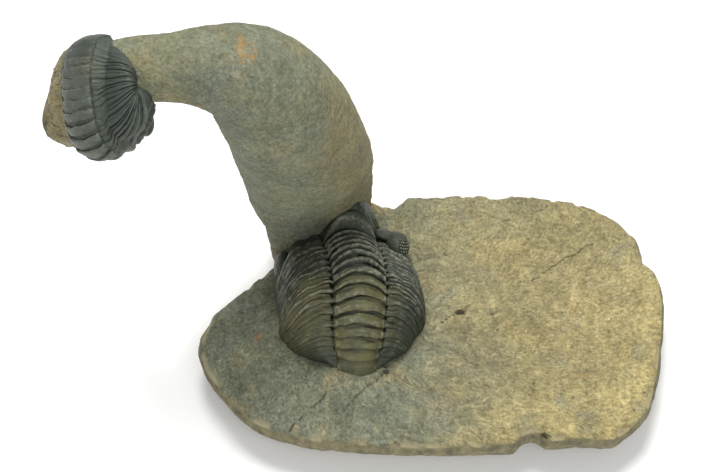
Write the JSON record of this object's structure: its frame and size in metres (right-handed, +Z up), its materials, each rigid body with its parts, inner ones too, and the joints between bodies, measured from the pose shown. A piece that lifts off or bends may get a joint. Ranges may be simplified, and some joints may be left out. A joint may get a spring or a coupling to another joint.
{
  "type": "fossil trilobite pair on limestone",
  "caption": "Prepared fossil: an arched trilobite on an irregular limestone slab, with a bent stone arm rising from its head that carries an enrolled trilobite.",
  "frame": {"origin": "middle of the slab's flat underside", "axes": "+Z up, +X along the slab's length away from the upper trilobite, +Y the way the lower trilobite's head points"},
  "size_m": [0.1155, 0.0598, 0.0782],
  "materials": {
    "slab_limestone": "air-abraded, matt",
    "arm_limestone": "air-abraded, matt",
    "lower_shell": "fossil shell, satin",
    "upper_shell": "fossil shell, satin"
  },
  "bodies": {
    "root": {"stone_slab": "slab_limestone", "stone_arm": "arm_limestone", "trilobite_on_slab": "lower_shell", "trilobite_on_arm": "upper_shell"}
  },
  "joints": []
}
